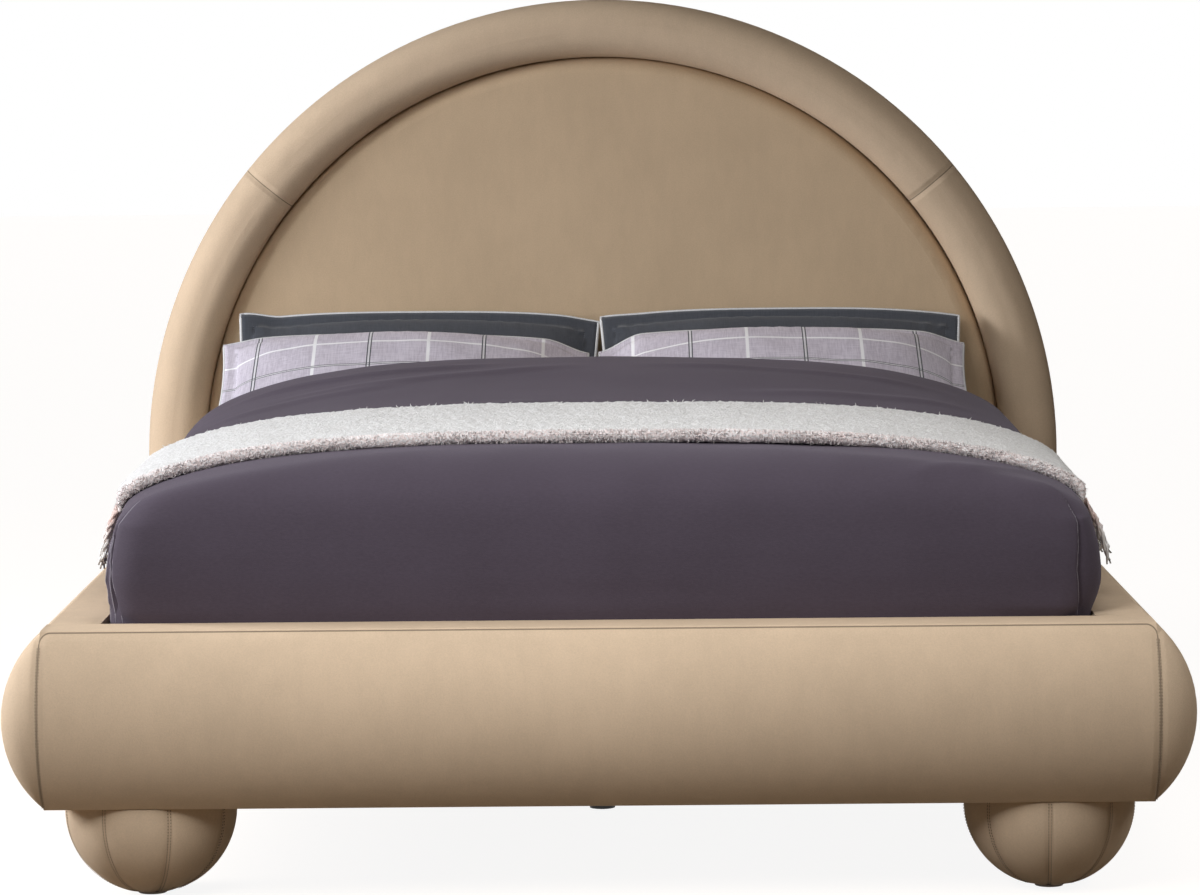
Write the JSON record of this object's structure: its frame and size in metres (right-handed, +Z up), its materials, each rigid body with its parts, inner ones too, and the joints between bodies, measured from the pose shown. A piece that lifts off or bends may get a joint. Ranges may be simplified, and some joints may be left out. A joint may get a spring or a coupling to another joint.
{
  "type": "upholstered bed",
  "caption": "Padded bed with bow-fronted rails, ball feet and a round-arched headboard with a thick roll; mattress, tucked duvet, folded throw and pillows.",
  "frame": {"origin": "on the floor under the middle of the whole bed", "axes": "+Z up, +X to the right seen from the foot end, +Y from the foot end to the headboard"},
  "size_m": [1.832, 2.333, 1.413],
  "materials": {
    "velvet": "short-pile velvet",
    "plywood": "raw plywood",
    "pine": "planed softwood",
    "steel": "zinc plated",
    "nylon": "moulded",
    "webbing": "woven band",
    "ticking": "woven ticking",
    "duvet_velvet": "soft brushed cotton",
    "throw_cream": "woven wool",
    "check_cloth": "woven cotton",
    "charcoal_cloth": "woven cotton"
  },
  "bodies": {
    "bedstead": {"foot_rail_board": "pine", "left_rail_board": "pine", "right_rail_board": "pine", "foot_rail_formers": "plywood", "left_rail_formers": "plywood", "right_rail_formers": "plywood", "foot_rail_cover": "velvet", "left_rail_cover": "velvet", "right_rail_cover": "velvet", "left_slat_ledge": "pine", "right_slat_ledge": "pine", "corner_blocks": "pine", "corner_brackets": "steel", "bracket_bolts": "steel", "headboard_panel": "plywood", "headboard_arch": "pine", "headboard_posts": "pine", "headboard_cross_rails": "pine", "headboard_upright": "pine", "headboard_pad": "velvet", "roll_left": "velvet", "roll_crown": "velvet", "roll_right": "velvet", "headboard_back_cloth": "velvet", "front_left_foot": "velvet", "front_right_foot": "velvet", "back_left_foot": "velvet", "back_right_foot": "velvet", "foot_cores": "pine", "foot_bolts": "steel", "foot_glides": "nylon", "slat_01": "pine", "slat_02": "pine", "slat_03": "pine", "slat_04": "pine", "slat_05": "pine", "slat_06": "pine", "slat_07": "pine", "slat_08": "pine", "slat_09": "pine", "slat_10": "pine", "slat_11": "pine", "slat_12": "pine", "slat_straps": "webbing", "centre_beam": "pine", "beam_hangers": "steel", "centre_legs": "pine"},
    "mattress_body": {"mattress": "ticking"},
    "duvet_body": {"duvet": "duvet_velvet"},
    "throw_body": {"throw": "throw_cream"},
    "pillow_fl_body": {"pillow_front_left": "check_cloth"},
    "pillow_fr_body": {"pillow_front_right": "check_cloth"},
    "pillow_bl_body": {"pillow_back_left": "charcoal_cloth"},
    "pillow_br_body": {"pillow_back_right": "charcoal_cloth"},
    "leveller_1_body": {"leveller_1": "nylon"},
    "leveller_2_body": {"leveller_2": "nylon"},
    "leveller_3_body": {"leveller_3": "nylon"}
  },
  "joints": [
    {"name": "mattress_lift", "type": "slide", "parent": "bedstead", "child": "mattress_body", "axis": [0, 0, 1], "range_m": [0, 0.2]},
    {"name": "duvet_lift", "type": "slide", "parent": "mattress_body", "child": "duvet_body", "axis": [0, 0, 1], "range_m": [0, 0.3]},
    {"name": "throw_lift", "type": "slide", "parent": "duvet_body", "child": "throw_body", "axis": [0, 0, 1], "range_m": [0, 0.25]},
    {"name": "pillow_fl_pull", "type": "slide", "parent": "mattress_body", "child": "pillow_fl_body", "axis": [0, 0.9164, 0.4003], "range_m": [0, 0.06]},
    {"name": "pillow_fr_pull", "type": "slide", "parent": "mattress_body", "child": "pillow_fr_body", "axis": [0, 0.9164, 0.4003], "range_m": [0, 0.06]},
    {"name": "pillow_bl_pull", "type": "slide", "parent": "mattress_body", "child": "pillow_bl_body", "axis": [-1, 0, 0], "range_m": [0, 0.08]},
    {"name": "pillow_br_pull", "type": "slide", "parent": "mattress_body", "child": "pillow_br_body", "axis": [1, 0, 0], "range_m": [0, 0.08]},
    {"name": "leveller_1_screw", "type": "slide", "parent": "bedstead", "child": "leveller_1_body", "axis": [0, 0, -1], "range_m": [0, 0.015]},
    {"name": "leveller_2_screw", "type": "slide", "parent": "bedstead", "child": "leveller_2_body", "axis": [0, 0, -1], "range_m": [0, 0.015]},
    {"name": "leveller_3_screw", "type": "slide", "parent": "bedstead", "child": "leveller_3_body", "axis": [0, 0, -1], "range_m": [0, 0.015]}
  ]
}
